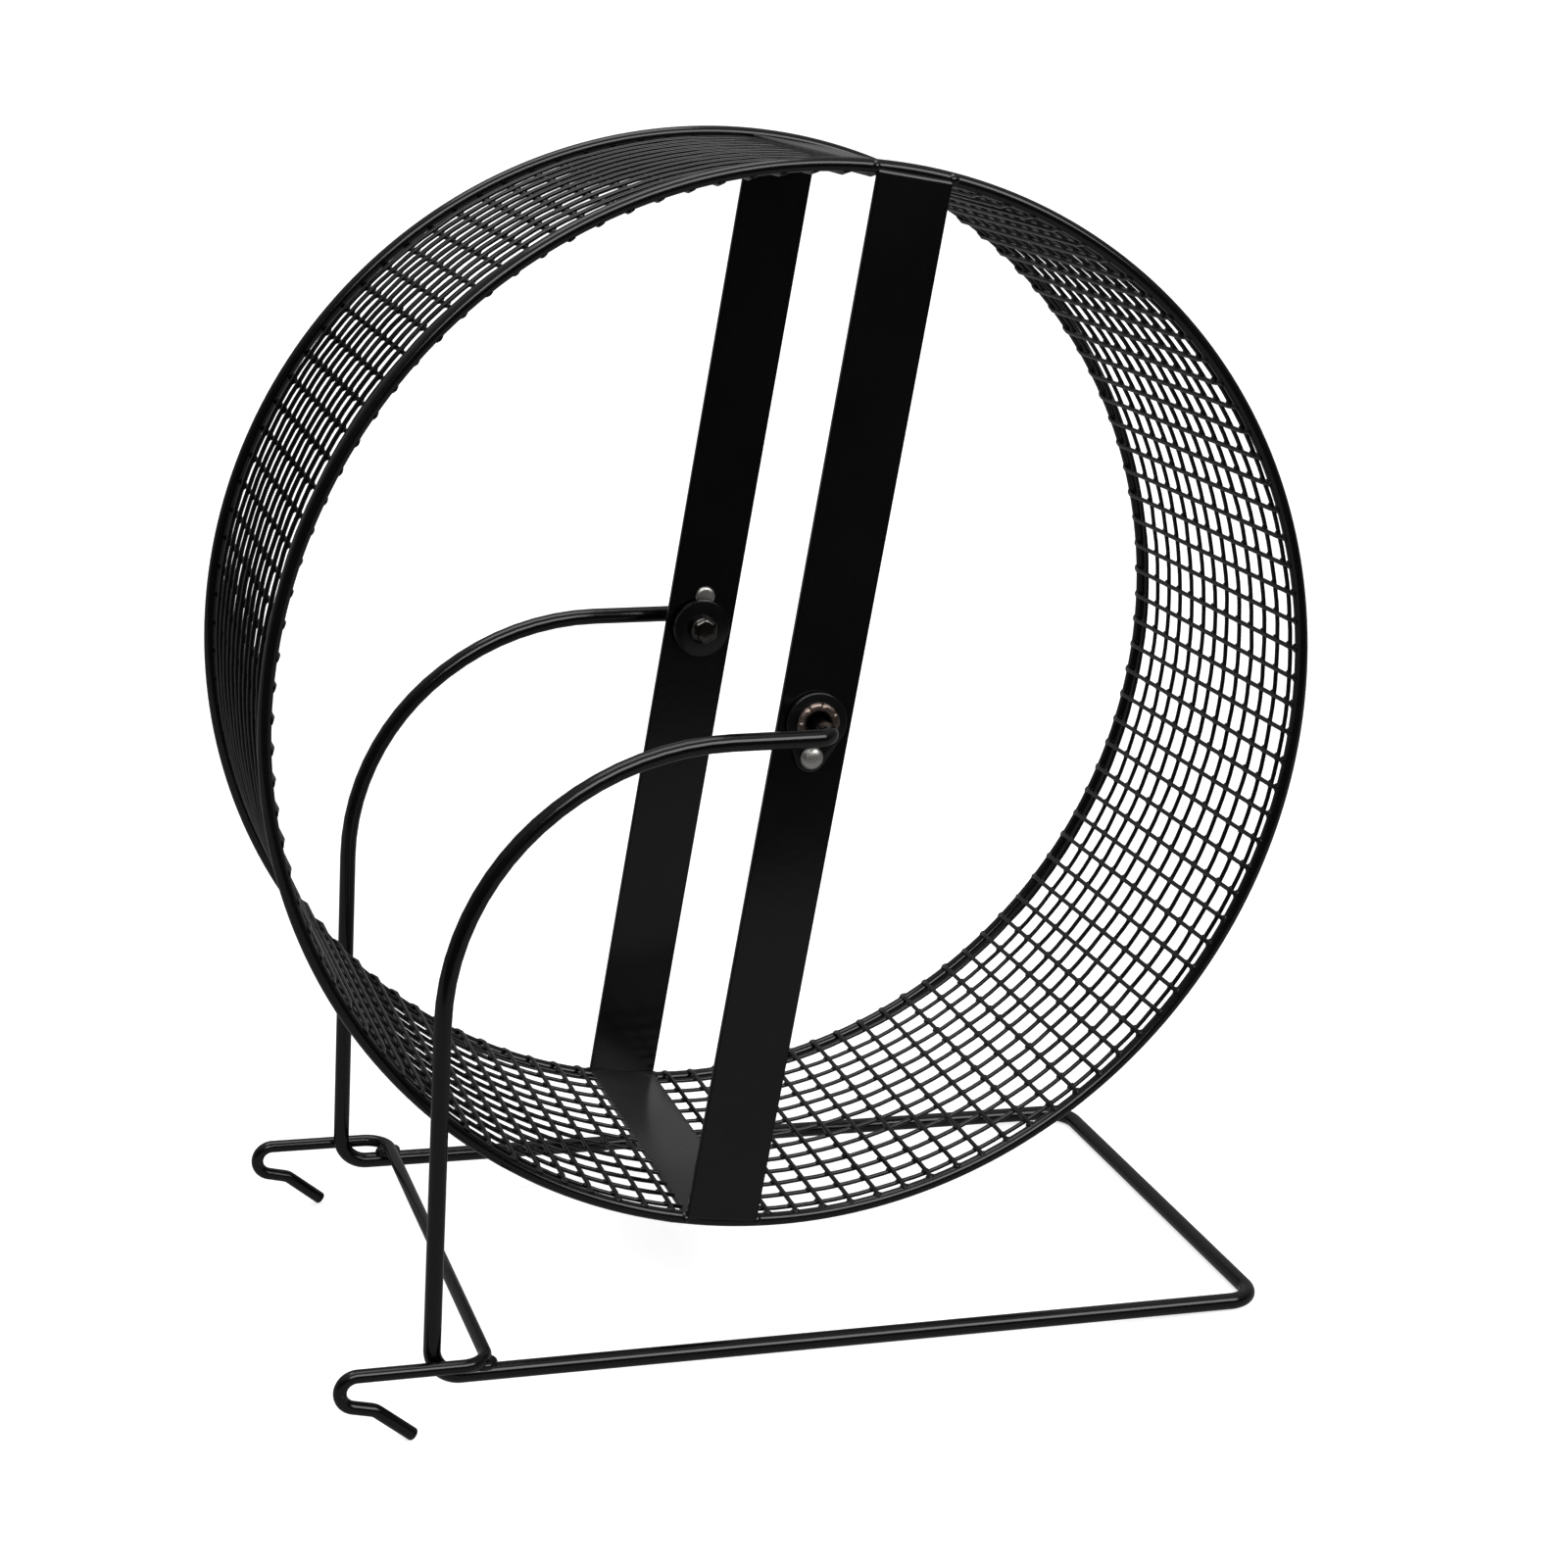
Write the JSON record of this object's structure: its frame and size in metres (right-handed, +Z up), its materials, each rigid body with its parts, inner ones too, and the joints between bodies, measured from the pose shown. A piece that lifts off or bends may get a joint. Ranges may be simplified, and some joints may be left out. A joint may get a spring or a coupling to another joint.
{
  "type": "hamster wheel",
  "caption": "Free-standing exercise wheel for a small pet: a welded wire-mesh drum between two hoops and flat crossbars, turning on stub axles of a bent-wire stand with hooks for cage bars.",
  "frame": {"origin": "on the surface that the stand rests on, below the middle of the wheel on the axle's line", "axes": "+Z up, +Y along the axle from the front side to the rear, +X along the rails towards the cross rail"},
  "size_m": [0.1998, 0.1052, 0.2264],
  "materials": {
    "black_paint": "gloss",
    "black_plastic": "satin",
    "nickel": "polished"
  },
  "bodies": {
    "stand": {"stand_wire": "black_paint", "hook_wire": "black_paint", "axle_cap_front": "nickel", "axle_cap_rear": "nickel"},
    "wheel": {"rim_hoop_front": "black_paint", "rim_hoop_rear": "black_paint", "mesh_ring_01": "black_paint", "mesh_ring_02": "black_paint", "mesh_ring_03": "black_paint", "mesh_ring_04": "black_paint", "mesh_ring_05": "black_paint", "mesh_ring_06": "black_paint", "mesh_ring_08": "black_paint", "mesh_ring_09": "black_paint", "mesh_ring_10": "black_paint", "mesh_ring_11": "black_paint", "mesh_ring_12": "black_paint", "mesh_ring_13": "black_paint", "mesh_panel_01": "black_paint", "mesh_panel_02": "black_paint", "mesh_panel_03": "black_paint", "mesh_panel_04": "black_paint", "mesh_panel_05": "black_paint", "mesh_panel_06": "black_paint", "mesh_panel_07": "black_paint", "mesh_panel_08": "black_paint", "mesh_panel_09": "black_paint", "mesh_panel_10": "black_paint", "mesh_panel_11": "black_paint", "crossbar_front": "black_paint", "crossbar_rear": "black_paint", "tie_strip_bottom": "black_paint", "tie_strip_top": "black_paint", "hub_plate_front": "black_plastic", "hub_plate_rear": "black_plastic", "hub_bush_front": "nickel", "hub_bush_rear": "nickel", "hub_rivet_front": "nickel", "hub_rivet_rear": "nickel", "hub_washer_front": "black_plastic", "hub_washer_rear": "black_plastic"}
  },
  "joints": [
    {"name": "wheel_spin", "type": "hinge", "parent": "stand", "child": "wheel", "pos_m": [0, 0, 0.12524], "axis": [0, 1, 0], "continuous": true}
  ]
}
